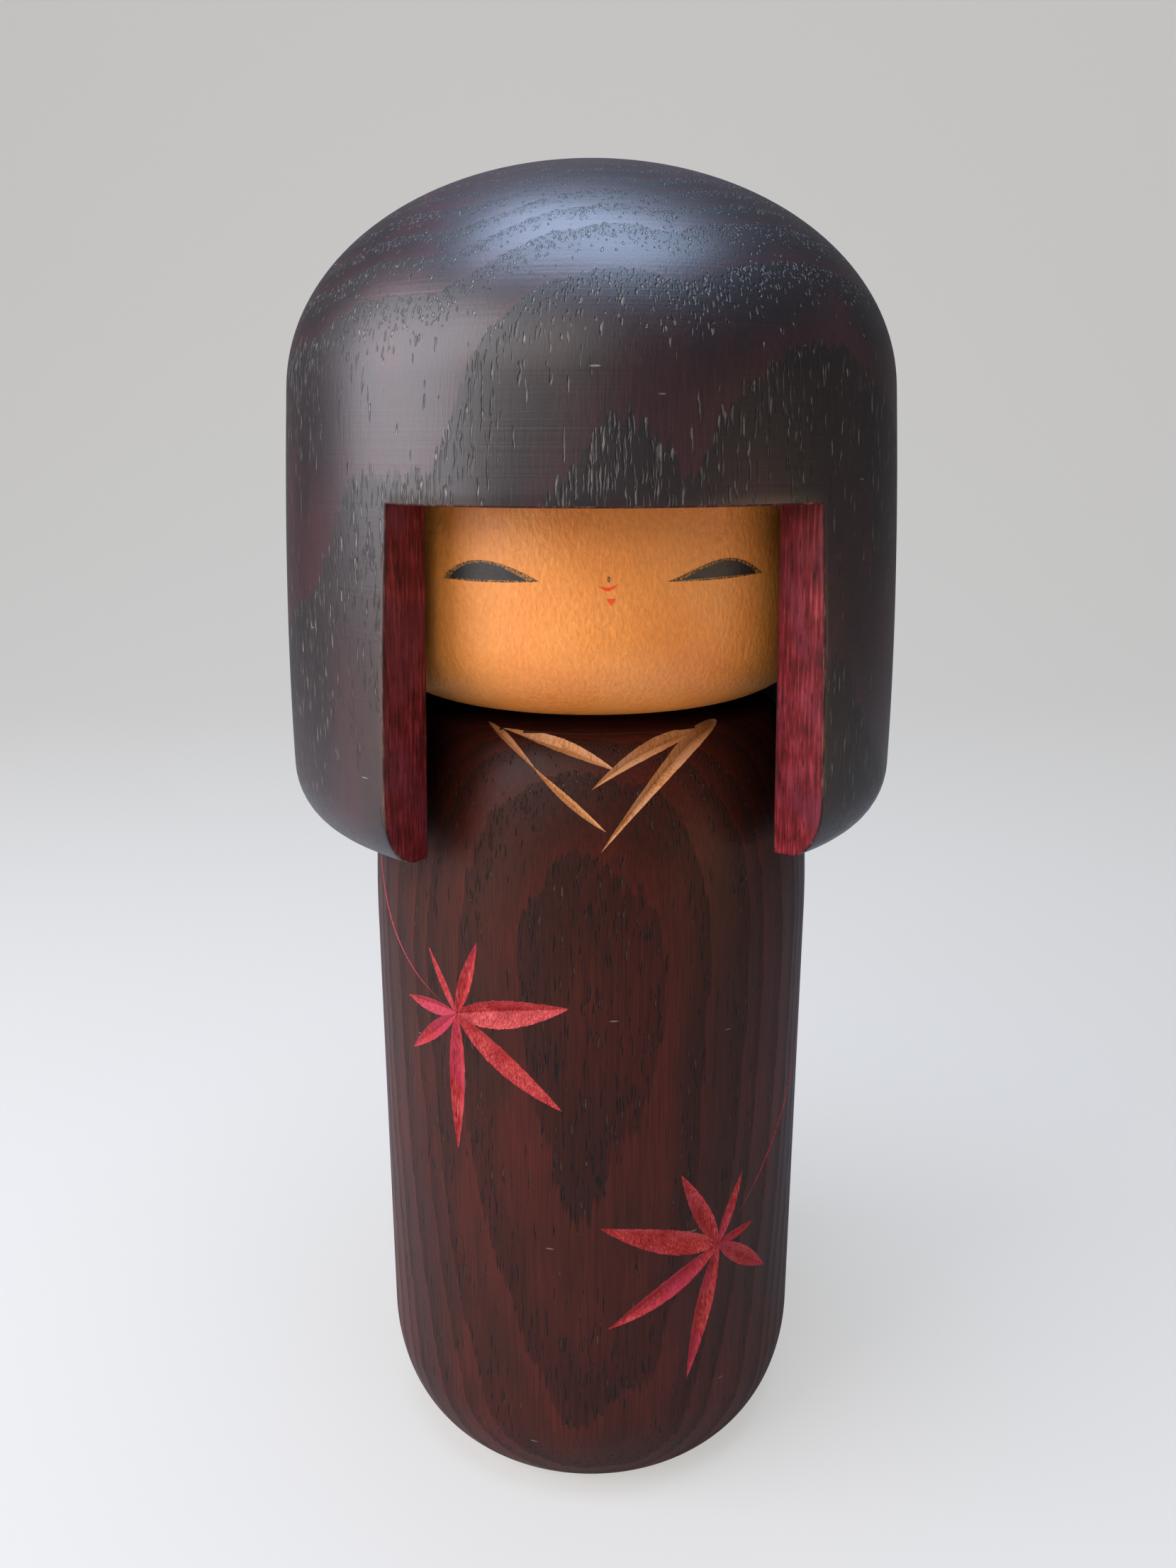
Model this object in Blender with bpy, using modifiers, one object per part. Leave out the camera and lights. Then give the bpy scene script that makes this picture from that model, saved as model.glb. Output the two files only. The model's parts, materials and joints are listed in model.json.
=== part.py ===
"""Sosaku kokeshi: a lathe-turned wooden doll whose hooded head turns on its body.

Frame: +Z up, the doll faces -Y, and the origin is the centre of the underside. Metres.
"""

from math import cos, pi, radians, sin, tan

import bmesh
import bpy
from mathutils import Matrix, Vector

GAP = 0.0003  # play between two pieces that touch
SIDES = 80  # flats round a large turned piece
MERGE = 0.00001  # how near the axis a turned point is joined to it

# Body: a nearly straight column with a rounded foot and a domed shoulder.
BODY_LOW_RADIUS = 0.0460
BODY_HIGH_RADIUS = 0.0454
FOOT_RADIAL = 0.0107  # the foot's rounding, across and up
FOOT_RISE = 0.0208
SHOULDER_START = 0.1150
SHOULDER_LINE_RADIUS = 0.0345  # a fine line turned where the dome meets the seat
SHOULDER_LINE_HEIGHT = 0.1622
SHOULDER_LINE_DEPTH = 0.0004
SEAT_RADIUS = 0.0200  # the flat that carries the head
SEAT_HEIGHT = 0.1647

# Hood: the head of hair, a bell that hangs round the face and the shoulders.
HOOD_TOP = 0.2600
HOOD_RIM = 0.1406
HOOD_RIM_RADIUS = 0.0600
HOOD_CROWN_START = 0.2220  # height at which the side becomes the crown
HOOD_CROWN_RADIUS = 0.0568
HOOD_CROWN_LEAN = 0.083  # how far the side leans in there, per unit of height
RIM_OUTER_RADIAL = 0.0088
RIM_OUTER_RISE = 0.0110
RIM_INNER_ROUND = 0.0010
BORE_RADIUS = 0.0490
BORE_CEILING = 0.2240
BORE_CORNER = 0.0040

# Window: the hood's opening over the face, between two cuts that meet near the axis.
WINDOW_HALF_ANGLE = 36.6  # degrees each side of straight ahead, at the fringe
WINDOW_SPLAY = 2.2  # degrees that each cut leans outwards on its way down to the rim
FRINGE_HEIGHT = 0.2027

# Face: a turned block held by its thick upper end in the hood's bore.
FACE_RADIUS = 0.0455
CHIN_HEIGHT = SEAT_HEIGHT + GAP
CHIN_RADIAL = 0.0160
CHIN_RISE = 0.0150
HOLD_HEIGHT = 0.2070  # the thick end starts here, above the fringe

# Dowel: glued into the body, and the head turns on it.
DOWEL_RADIUS = 0.0090
DOWEL_CHAMFER = 0.0010
DOWEL_BOTTOM = 0.1400
DOWEL_TOP = 0.1900
DOWEL_SIDES = 32

WOOD = {
    "stained_body_wood": (0.042, 0.017, 0.012, 0.42),
    "stained_hood_wood": (0.020, 0.012, 0.013, 0.36),
    "lacquered_face_wood": (0.700, 0.300, 0.075, 0.38),
    "plain_dowel_wood": (0.560, 0.400, 0.240, 0.60),
}


def clear_scene():
    for item in list(bpy.data.objects):
        bpy.data.objects.remove(item)


def new_collection(name):
    made = bpy.data.collections.new(name)
    bpy.context.scene.collection.children.link(made)
    return made


def wood(name):
    red, green, blue, roughness = WOOD[name]
    made = bpy.data.materials.new(name)
    made.use_nodes = True
    shader = made.node_tree.nodes["Principled BSDF"]
    shader.inputs["Base Color"].default_value = (red, green, blue, 1.0)
    shader.inputs["Roughness"].default_value = roughness
    shader.inputs["Metallic"].default_value = 0.0
    return made


def quarter(centre, radial, rise, start, end, count):
    """Points of an elliptical arc; angles in degrees from straight out (+X) towards up."""
    turns = [radians(start + (end - start) * i / count) for i in range(count + 1)]
    return [(centre[0] + radial * cos(t), centre[1] + rise * sin(t)) for t in turns]


def french_curve(first, first_pull, last_pull, last, count):
    """Points of a cubic Bezier curve, both ends included."""
    corners = [Vector(point) for point in (first, first_pull, last_pull, last)]
    points = []
    for i in range(count + 1):
        t = i / count
        weights = ((1 - t) ** 3, 3 * t * (1 - t) ** 2, 3 * t * t * (1 - t), t**3)
        points.append(tuple(sum((w * c for w, c in zip(weights, corners)), Vector((0, 0)))))
    return points


def body_outline():
    """Radius and height, from the seat's centre out, down the side and back under the foot."""
    line = (SHOULDER_LINE_RADIUS, SHOULDER_LINE_HEIGHT)
    seat = [(0.0, SEAT_HEIGHT), (SEAT_RADIUS, SEAT_HEIGHT), line]
    groove = (line[0] + SHOULDER_LINE_DEPTH, line[1] - SHOULDER_LINE_DEPTH)
    rise = SHOULDER_LINE_HEIGHT - SHOULDER_START
    dome = french_curve(
        (line[0] + 2 * SHOULDER_LINE_DEPTH, line[1]),
        (line[0] + 0.0065, line[1] - 0.0006),
        (BODY_HIGH_RADIUS, SHOULDER_START + 0.65 * rise),
        (BODY_HIGH_RADIUS, SHOULDER_START),
        10,
    )
    foot_centre = (BODY_LOW_RADIUS - FOOT_RADIAL, FOOT_RISE)
    foot = quarter(foot_centre, FOOT_RADIAL, FOOT_RISE, 0, -90, 8)
    return [*seat, groove, *dome, *foot, (0.0, 0.0)]


def hood_outline():
    """From the crown's centre down the outside, round the rim and up the bore to its ceiling."""
    start = (HOOD_CROWN_RADIUS, HOOD_CROWN_START)
    rise = HOOD_TOP - HOOD_CROWN_START
    pull = 0.5523  # the handle length that makes a Bezier quarter nearly a true ellipse
    crown = french_curve(
        (0.0, HOOD_TOP),
        (pull * HOOD_CROWN_RADIUS, HOOD_TOP),
        (start[0] - HOOD_CROWN_LEAN * pull * rise, start[1] + pull * rise),
        start,
        14,
    )
    side_end = (HOOD_RIM_RADIUS, HOOD_RIM + RIM_OUTER_RISE)
    drop = (start[1] - side_end[1]) / 3
    side = french_curve(
        start,
        (start[0] + HOOD_CROWN_LEAN * drop, start[1] - drop),
        (side_end[0], side_end[1] + drop),
        side_end,
        8,
    )
    outer_centre = (HOOD_RIM_RADIUS - RIM_OUTER_RADIAL, side_end[1])
    outer = quarter(outer_centre, RIM_OUTER_RADIAL, RIM_OUTER_RISE, 0, -90, 5)
    inner_centre = (BORE_RADIUS + RIM_INNER_ROUND, HOOD_RIM + RIM_INNER_ROUND)
    inner = quarter(inner_centre, RIM_INNER_ROUND, RIM_INNER_ROUND, -90, -180, 3)
    corner_centre = (BORE_RADIUS - BORE_CORNER, BORE_CEILING - BORE_CORNER)
    corner = quarter(corner_centre, BORE_CORNER, BORE_CORNER, 0, 90, 3)
    return [*crown, *side[1:], *outer[1:], *inner, *corner, (0.0, BORE_CEILING)]


def face_outline():
    """From the top's centre out, down the thick end, in to the face and round the chin."""
    hold_radius = BORE_RADIUS - GAP
    top = BORE_CEILING - GAP
    corner_centre = (hold_radius - BORE_CORNER, top - BORE_CORNER)
    corner = quarter(corner_centre, BORE_CORNER, BORE_CORNER, 90, 0, 3)
    chin_centre = (FACE_RADIUS - CHIN_RADIAL, CHIN_HEIGHT + CHIN_RISE)
    chin = quarter(chin_centre, CHIN_RADIAL, CHIN_RISE, 0, -90, 8)
    step = [(hold_radius, HOLD_HEIGHT), (FACE_RADIUS, HOLD_HEIGHT)]
    return [(0.0, top), *corner, *step, *chin, (0.0, CHIN_HEIGHT)]


def dowel_outline():
    small = DOWEL_RADIUS - DOWEL_CHAMFER
    top = [(0.0, DOWEL_TOP), (small, DOWEL_TOP), (DOWEL_RADIUS, DOWEL_TOP - DOWEL_CHAMFER)]
    low = [(DOWEL_RADIUS, DOWEL_BOTTOM + DOWEL_CHAMFER), (small, DOWEL_BOTTOM)]
    return [*top, *low, (0.0, DOWEL_BOTTOM)]


def turned(name, outline, collection, material=None, sides=SIDES):
    """A solid of revolution: the outline as a chain of edges, turned by a Screw modifier."""
    mesh = bpy.data.meshes.new(name)
    edges = [(i, i + 1) for i in range(len(outline) - 1)]
    mesh.from_pydata([(radius, 0.0, height) for radius, height in outline], edges, [])
    piece = bpy.data.objects.new(name, mesh)
    collection.objects.link(piece)
    if material:
        mesh.materials.append(material)
    screw = piece.modifiers.new("turn", "SCREW")
    screw.axis = "Z"
    screw.angle = 2 * pi
    screw.steps = sides
    screw.render_steps = sides
    screw.use_merge_vertices = True
    screw.merge_threshold = MERGE
    screw.use_smooth_shade = True
    return piece


def as_helper(piece):
    piece.hide_render = True
    piece.display_type = "WIRE"
    return piece


def window_cutter(collection):
    """A wedge with its edge on the axis, open to the front, from below the rim to the fringe."""
    reach = 1.6 * HOOD_RIM_RADIUS
    low = HOOD_RIM - 0.010
    cube = bmesh.new()
    bmesh.ops.create_cube(cube, size=1.0)
    size = Matrix.Diagonal((4 * reach, reach, FRINGE_HEIGHT - low, 1.0))
    place = Matrix.Translation((0.0, -reach / 2, (FRINGE_HEIGHT + low) / 2))
    bmesh.ops.transform(cube, matrix=place @ size, verts=cube.verts)
    for side in (-1, 1):
        angle = radians(WINDOW_HALF_ANGLE)
        outwards = (side * cos(angle), sin(angle), tan(radians(WINDOW_SPLAY)))
        everything = cube.verts[:] + cube.edges[:] + cube.faces[:]
        bmesh.ops.bisect_plane(
            cube,
            geom=everything,
            plane_co=(0.0, 0.0, FRINGE_HEIGHT),
            plane_no=outwards,
            clear_outer=True,
        )
        bmesh.ops.holes_fill(cube, edges=[e for e in cube.edges if e.is_boundary])
    bmesh.ops.remove_doubles(cube, verts=cube.verts, dist=MERGE)
    bmesh.ops.recalc_face_normals(cube, faces=cube.faces)
    mesh = bpy.data.meshes.new("window_cutter")
    cube.to_mesh(mesh)
    cube.free()
    piece = bpy.data.objects.new("window_cutter", mesh)
    collection.objects.link(piece)
    return as_helper(piece)


def socket_cutter(name, low, high, collection):
    """A straight cylinder that leaves the dowel its play."""
    radius = DOWEL_RADIUS + GAP
    outline = [(0.0, high), (radius, high), (radius, low), (0.0, low)]
    return as_helper(turned(name, outline, collection, sides=DOWEL_SIDES))


def cut(piece, cutter):
    boolean = piece.modifiers.new(cutter.name, "BOOLEAN")
    boolean.operation = "DIFFERENCE"
    boolean.solver = "EXACT"
    boolean.object = cutter


def build():
    clear_scene()
    doll = new_collection("kokeshi_doll")
    cutters = new_collection("cutters")

    body = turned("body", body_outline(), doll, wood("stained_body_wood"))
    overshoot = 0.010
    body_socket = socket_cutter(
        "body_socket", DOWEL_BOTTOM - GAP, SEAT_HEIGHT + overshoot, cutters
    )
    cut(body, body_socket)

    turned("neck_dowel", dowel_outline(), doll, wood("plain_dowel_wood"), DOWEL_SIDES)

    face = turned("face_block", face_outline(), doll, wood("lacquered_face_wood"))
    face_socket = socket_cutter("face_socket", CHIN_HEIGHT - overshoot, DOWEL_TOP + GAP, cutters)
    cut(face, face_socket)

    hood = turned("hair_hood", hood_outline(), doll, wood("stained_hood_wood"))
    cut(hood, window_cutter(cutters))


build()
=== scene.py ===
# %% [markdown]
# A kokeshi is a wooden doll turned on a lathe. This one is a creative kind: a dark column for a
# body, an amber block for a face, and a hollow bell of black-stained wood for the hair. Nothing
# holds it together but close fits and one dowel, and the head turns on that dowel.
#
# Three things make it look real, and each gets its own steps below: turned forms with a
# craftsman's slight softness, cuts made by a real V-shaped chisel, and ring-porous wood whose
# pores and yearly rings run through the solid rather than over its skin.

import json
from math import atan2, cos, degrees, hypot, log, pi, radians, sin, tan

import bpy
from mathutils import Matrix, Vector

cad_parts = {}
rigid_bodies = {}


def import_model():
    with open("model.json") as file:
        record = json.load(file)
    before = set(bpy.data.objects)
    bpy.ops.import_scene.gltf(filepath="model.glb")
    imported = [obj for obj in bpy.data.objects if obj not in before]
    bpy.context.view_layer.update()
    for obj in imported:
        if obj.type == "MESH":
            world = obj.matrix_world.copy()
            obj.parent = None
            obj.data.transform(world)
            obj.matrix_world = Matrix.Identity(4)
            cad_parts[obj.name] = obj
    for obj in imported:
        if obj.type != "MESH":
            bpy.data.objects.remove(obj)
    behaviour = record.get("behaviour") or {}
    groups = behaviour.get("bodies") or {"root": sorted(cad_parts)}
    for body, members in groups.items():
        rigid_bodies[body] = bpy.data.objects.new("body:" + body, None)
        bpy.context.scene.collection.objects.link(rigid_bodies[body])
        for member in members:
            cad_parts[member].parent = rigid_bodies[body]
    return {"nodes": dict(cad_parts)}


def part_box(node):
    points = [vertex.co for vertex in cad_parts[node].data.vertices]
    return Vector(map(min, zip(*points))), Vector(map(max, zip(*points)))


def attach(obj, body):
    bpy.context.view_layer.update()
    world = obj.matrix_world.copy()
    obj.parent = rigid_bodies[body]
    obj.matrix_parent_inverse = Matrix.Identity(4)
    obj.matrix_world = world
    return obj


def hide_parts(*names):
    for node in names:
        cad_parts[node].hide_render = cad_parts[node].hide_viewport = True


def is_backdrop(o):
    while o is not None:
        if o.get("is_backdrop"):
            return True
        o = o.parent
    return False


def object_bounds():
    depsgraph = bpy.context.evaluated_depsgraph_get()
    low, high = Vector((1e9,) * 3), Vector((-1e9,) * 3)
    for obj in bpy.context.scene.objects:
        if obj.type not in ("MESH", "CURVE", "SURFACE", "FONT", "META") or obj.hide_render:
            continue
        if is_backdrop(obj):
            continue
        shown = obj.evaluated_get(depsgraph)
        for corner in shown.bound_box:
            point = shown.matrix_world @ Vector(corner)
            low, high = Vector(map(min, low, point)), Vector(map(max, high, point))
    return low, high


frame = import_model()
cad_low, cad_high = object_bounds()
MM = 0.001
print("doll height:", round((cad_high.z - cad_low.z) / MM, 1), "mm")

# %% [markdown]
# Blender works in linear light, but people pick colours by their sRGB hex value. One function
# turns one into the other, so that every colour below can be written the way a paint chart has it.
#
# A material is a small machine of nodes. One more function adds a node, sets it up and plugs in
# its inputs, so each finish below reads as a list of steps.

# %% Colours and nodes
def linear(hex_colour, alpha=1.0):
    """sRGB hex such as "#c08040" to the linear RGBA that a shader takes."""
    channels = []
    for start in (1, 3, 5):
        value = int(hex_colour[start:start + 2], 16) / 255
        channels.append(value / 12.92 if value <= 0.04045 else ((value + 0.055) / 1.055) ** 2.4)
    return (*channels, alpha)


def new_finish(name):
    """An empty node material: (material, its tree, its shader)."""
    finish = bpy.data.materials.new(name)
    finish.use_nodes = True
    tree = finish.node_tree
    return finish, tree, tree.nodes["Principled BSDF"]


def add(tree, kind, inputs=None, **settings):
    """Adds a node. inputs maps a socket's name or number to a value or to another socket."""
    node = tree.nodes.new("ShaderNode" + kind)
    for name, value in settings.items():
        setattr(node, name, value)
    for name, value in (inputs or {}).items():
        if isinstance(value, bpy.types.NodeSocket):
            tree.links.new(value, node.inputs[name])
        else:
            node.inputs[name].default_value = value
    return node


def in_millimetres(tree):
    """The piece's own coordinates, in millimetres."""
    place = add(tree, "TexCoord").outputs["Object"]
    thousand = (1000, 1000, 1000)
    return add(tree, "VectorMath", {0: place, 1: thousand}, operation="MULTIPLY").outputs[0]


def select_nothing():
    if bpy.context.mode != "OBJECT":
        bpy.ops.object.mode_set(mode="OBJECT")
    bpy.ops.object.select_all(action="DESELECT")


select_nothing()

# %% [markdown]
# The camera comes first, because it says how fine the detail has to be. It is a phone's wide lens
# held close: a hand's breadth above the doll's eyes and tilted down, a little to its right side.

# %% Camera
EYE_DISTANCE = 0.238
EYE_HEIGHT = 0.213
EYE_TILT = 16.44  # degrees below level
DOLL_TURN = 2.8  # degrees that the doll is turned away from the camera's line
EYE_OFFSET = 0.00065
FOCAL_LENGTH = 27.03  # millimetres on a 36 mm sensor

bpy.ops.object.camera_add()
camera = bpy.context.object
camera.name = "camera"
turn_angle = radians(-DOLL_TURN)
camera.location = (
    -EYE_OFFSET * cos(turn_angle) + EYE_DISTANCE * sin(turn_angle),
    -EYE_OFFSET * sin(turn_angle) - EYE_DISTANCE * cos(turn_angle),
    EYE_HEIGHT,
)
camera.rotation_euler = (radians(90 - EYE_TILT), 0.0, turn_angle)
camera.data.sensor_width = 36
camera.data.lens = FOCAL_LENGTH
camera.data.clip_start = 0.01
bpy.context.scene.camera = camera
print("camera at", [round(value / MM) for value in camera.location], "mm")

# %% [markdown]
# A lathe spins the wood while the turner's gouge follows an outline, so a turned piece is known
# completely by half of its silhouette. The same thing works here: an outline of (radius, height)
# points is drawn by extruding one vertex, and Spin carries it round the axis. A true lathe outline
# has few straight stretches, so arcs and French curves give the points.

# %% Outline tools
def arc(centre, radial, rise, start, end, count):
    """Points of an elliptical arc, in degrees from straight out towards up."""
    turns = [radians(start + (end - start) * i / count) for i in range(count + 1)]
    return [Vector((centre[0] + radial * cos(t), centre[1] + rise * sin(t))) for t in turns]


def french_curve(first, first_pull, last_pull, last, count):
    """Points of a cubic Bezier curve, both ends included."""
    corners = [Vector(point) for point in (first, first_pull, last_pull, last)]
    points = []
    for i in range(count + 1):
        t = i / count
        weights = ((1 - t) ** 3, 3 * t * (1 - t) ** 2, 3 * t * t * (1 - t), t ** 3)
        points.append(sum((w * c for w, c in zip(weights, corners)), Vector((0.0, 0.0))))
    return points


def straight(first, last, count):
    """Evenly spaced points of a line, both ends included."""
    return [Vector(first).lerp(Vector(last), i / count) for i in range(count + 1)]


# %% Spin an outline into a piece
WELD = 0.000002


def spin_piece(name, outline, steps, start=0.0):
    """Turns an outline about Z, beginning at an angle in degrees from +X."""
    select_nothing()
    bpy.ops.mesh.primitive_plane_add(size=MM)
    piece = bpy.context.object
    piece.name = piece.data.name = name
    ray = Vector((cos(radians(start)), sin(radians(start)), 0.0))
    spots = [ray * point[0] + Vector((0.0, 0.0, point[1])) for point in outline]
    bpy.ops.object.mode_set(mode="EDIT")
    bpy.ops.mesh.select_mode(type="VERT")
    bpy.ops.mesh.select_all(action="SELECT")
    bpy.ops.mesh.merge(type="CENTER")
    bpy.ops.transform.translate(value=spots[0])
    for here, there in zip(spots, spots[1:]):
        bpy.ops.mesh.extrude_vertices_move(TRANSFORM_OT_translate={"value": there - here})
    bpy.ops.mesh.select_all(action="SELECT")
    bpy.ops.mesh.spin(steps=steps, angle=2 * pi, center=(0, 0, 0), axis=(0, 0, 1))
    bpy.ops.mesh.select_all(action="SELECT")
    bpy.ops.mesh.remove_doubles(threshold=WELD)
    bpy.ops.mesh.normals_make_consistent(inside=False)
    bpy.ops.mesh.select_all(action="DESELECT")
    bpy.ops.object.mode_set(mode="OBJECT")
    return piece


def smooth(piece, angle=12):
    """Shades curved stretches smooth and keeps cut edges crisp."""
    select_nothing()
    piece.select_set(True)
    bpy.context.view_layer.objects.active = piece
    bpy.ops.object.shade_smooth_by_angle(angle=radians(angle))


def volume_ml(piece):
    """Volume by the divergence theorem; negative if the piece is inside out."""
    total = 0.0
    for face in piece.data.polygons:
        corners = [piece.data.vertices[i].co for i in face.vertices]
        for a, b in zip(corners[1:], corners[2:]):
            total += corners[0].dot(a.cross(b)) / 6
    return total / MM ** 3 / 1000


# %% [markdown]
# The body is one turned column. Its foot is drawn in so that the doll looks light on its base, its
# side is all but straight, and the shoulder rolls over to a flat seat for the head. A fine line is
# turned where the roll meets the seat: on the real doll it marks how far the head reaches.

# %% Body outline
body_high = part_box("body")[1]
SEAT_HEIGHT = body_high.z
BODY_RADIUS = body_high.x  # just above the foot
NECK_SIDE_RADIUS = BODY_RADIUS - 0.6 * MM
FOOT_RADIAL = 10.7 * MM
FOOT_RISE = 20.8 * MM
SEAT_RADIUS = 20.0 * MM
LINE_RADIUS = 34.5 * MM
LINE_HEIGHT = SEAT_HEIGHT - 2.5 * MM
SHOULDER_START = SEAT_HEIGHT - 49.7 * MM
LINE_DEPTH = 0.35 * MM

shoulder_rise = LINE_HEIGHT - SHOULDER_START
shoulder = french_curve(
    (LINE_RADIUS, LINE_HEIGHT),
    (LINE_RADIUS + 6.5 * MM, LINE_HEIGHT - 0.6 * MM),
    (NECK_SIDE_RADIUS, SHOULDER_START + 0.65 * shoulder_rise),
    (NECK_SIDE_RADIUS, SHOULDER_START),
    36,
)
side = straight((NECK_SIDE_RADIUS, SHOULDER_START), (BODY_RADIUS, FOOT_RISE), 36)
foot = arc((BODY_RADIUS - FOOT_RADIAL, FOOT_RISE), FOOT_RADIAL, FOOT_RISE, 0, -90, 30)
seat = [
    Vector((0.0, SEAT_HEIGHT)),
    Vector((SEAT_RADIUS, SEAT_HEIGHT)),
    Vector((LINE_RADIUS - 0.8 * MM, LINE_HEIGHT + 0.15 * MM)),
]
scribed_line = [
    Vector((LINE_RADIUS - 0.3 * MM, LINE_HEIGHT + 0.05 * MM)),
    Vector((LINE_RADIUS, LINE_HEIGHT - LINE_DEPTH)),
    Vector((LINE_RADIUS + 0.3 * MM, LINE_HEIGHT)),
]
body_outline = [*seat, *scribed_line, *shoulder[2:], *side[1:], *foot[1:], Vector((0.0, 0.0))]

body = spin_piece("turned_body", body_outline, 240)
print("body:", len(body.data.polygons), "faces,", round(volume_ml(body)), "ml")

# %% [markdown]
# The decoration is not drawn on the body. It is carved into it with a V-gouge, and then left bare
# (the crossed collar) or stained red (the maple leaves). A gouge stroke is a long, thin boat: it
# enters at a point, sinks and widens together, and leaves at a point. So each stroke is modelled
# as that boat, laid on the turned surface, and taken out with a Boolean, which leaves real facets
# that catch the light one bright, one dark.
#
# To lay a stroke on the surface, a point is given the way a carver sees it: degrees round the
# body, millimetres down it from the scribed line, and height above the wood.

# %% Find a place on the body
side_curve = [Vector((SEAT_RADIUS, SEAT_HEIGHT)), *shoulder, *side[1:]]
side_run = [-(side_curve[1] - side_curve[0]).length]
for here, there in zip(side_curve, side_curve[1:]):
    side_run.append(side_run[-1] + (there - here).length)


def on_body(azimuth, down, lift):
    """Azimuth in degrees from the front towards the doll's left; down and lift in metres."""
    index = next((i for i, run in enumerate(side_run[1:], 1) if run >= down), len(side_run) - 1)
    here, there = side_curve[index - 1], side_curve[index]
    share = (down - side_run[index - 1]) / (side_run[index] - side_run[index - 1])
    point = here.lerp(there, share)
    slope = (there - here).normalized()
    radius = point.x - lift * slope.y
    height = point.y + lift * slope.x
    angle = radians(azimuth)
    return Vector((radius * sin(angle), -radius * cos(angle), height))


def down_to(height):
    """How far down the side curve a given height lies."""
    for index in range(2, len(side_curve)):
        here, there = side_curve[index - 1], side_curve[index]
        if there.y <= height <= here.y:
            share = (here.y - height) / (here.y - there.y)
            return side_run[index - 1] + share * (side_run[index] - side_run[index - 1])
    return side_run[-1]


# %% [markdown]
# The boat itself starts as a flat grid with a second grid above it. Every vertex is then moved to
# its place: along the stroke's path, out to the V's side, and down to the V's bottom or up clear
# of the wood. A hand doesn't hold a gouge still, so the edge wanders by a few hundredths of the
# stroke's width.

# %% One stroke of the gouge
GOUGE_STATIONS = 36
CLEARANCE = 1.5 * MM  # how far the cutter stands above the wood
# First no shift, then the second tries for a cut that fails.
NUDGES = (0.0, 0.013 * MM, -0.017 * MM, 0.031 * MM, -0.037 * MM)
FLARE = 1.25  # the V runs on past the surface, so that the Boolean meets it squarely


def gouge_stroke(name, spots, width, slope, finish, fullest=0.5, wander=0.0, heel=0.0):
    """A boat-shaped cutter through spots of (azimuth, down), widest at the fraction fullest.

    heel is the share of the width that it already has at its first spot.
    """
    select_nothing()
    bpy.ops.mesh.primitive_grid_add(x_subdivisions=GOUGE_STATIONS, y_subdivisions=2, size=1)
    cutter = bpy.context.object
    cutter.name = cutter.data.name = name
    bpy.ops.object.mode_set(mode="EDIT")
    bpy.ops.mesh.select_all(action="SELECT")
    bpy.ops.mesh.extrude_region_move(TRANSFORM_OT_translate={"value": (0, 0, 1)})
    bpy.ops.object.mode_set(mode="OBJECT")
    power = log(2) / -log(fullest)
    for vertex in cutter.data.vertices:
        t, across, top = vertex.co.x + 0.5, 2 * vertex.co.y, vertex.co.z > 0.5
        azimuth, down = stroke_path(spots, t)
        ahead, behind = stroke_path(spots, min(t + 0.02, 1)), stroke_path(spots, max(t - 0.02, 0))
        girth = radians(1) * NECK_SIDE_RADIUS
        heading = Vector(((ahead[0] - behind[0]) * girth, ahead[1] - behind[1])).normalized()
        fullness = max(sin(pi * t ** power), 0.0) ** 0.85
        fullness = max(fullness, heel * min(1.0, 3 * (1 - t)))
        ragged = 1 + wander * sin(61 * t + 3 * across) * sin(17 * t + spots[0][0] / MM)
        half = max(0.5 * width * fullness * ragged, 0.01 * MM)
        reach = across * half * FLARE
        lift = CLEARANCE if top else half * slope * ((FLARE - 1) if across else -1)
        azimuth -= heading.y * reach / girth
        down += heading.x * reach
        vertex.co = on_body(azimuth, down, lift)
    bpy.ops.object.mode_set(mode="EDIT")
    bpy.ops.mesh.select_all(action="SELECT")
    bpy.ops.mesh.normals_make_consistent(inside=False)
    bpy.ops.object.mode_set(mode="OBJECT")
    cutter.data.materials.append(finish)
    return cutter


def stroke_path(spots, t):
    """A smooth path through the spots, at fraction t: two spots are a line, three a bow."""
    if len(spots) == 2:
        (a, b), (c, d) = spots
        return a + (c - a) * t, b + (d - b) * t
    first, middle, last = (Vector(spot) for spot in spots)
    pull = 2 * middle - (first + last) / 2
    point = (1 - t) ** 2 * first + 2 * t * (1 - t) * pull + t * t * last
    return point.x, point.y


def cut_once(piece, cutter):
    """Applies one Boolean difference; the walls it leaves take the cutter's finish."""
    select_nothing()
    bpy.context.view_layer.objects.active = piece
    piece.select_set(True)
    boolean = piece.modifiers.new(cutter.name, "BOOLEAN")
    boolean.operation = "DIFFERENCE"
    boolean.solver = "EXACT"
    boolean.material_mode = "TRANSFER"
    boolean.object = cutter
    bpy.ops.object.modifier_apply(modifier=boolean.name)


def carve(piece, cutters):
    """Takes the cutters out one after the other.

    The exact solver loses the whole piece at some strokes, with no message and for a reason not
    found, so each result is weighed. A cut that took far more than its cutter holds is undone,
    the cutter is moved by a hair, and it is cut again. Changing a stroke can bring this about.
    """
    for cutter in cutters:
        whole, weight = piece.data, volume_ml(piece)
        for nudge in NUDGES:
            piece.data = whole.copy()
            cutter.location.z = nudge
            bpy.context.view_layer.update()
            cut_once(piece, cutter)
            if 0 <= weight - volume_ml(piece) <= 2 * volume_ml(cutter):
                break
        else:
            raise RuntimeError(f"{cutter.name} can't be cut cleanly")
        if nudge:
            print(f"{cutter.name} moved by {nudge / MM:+.3f} mm")
        bpy.data.objects.remove(cutter)


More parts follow.
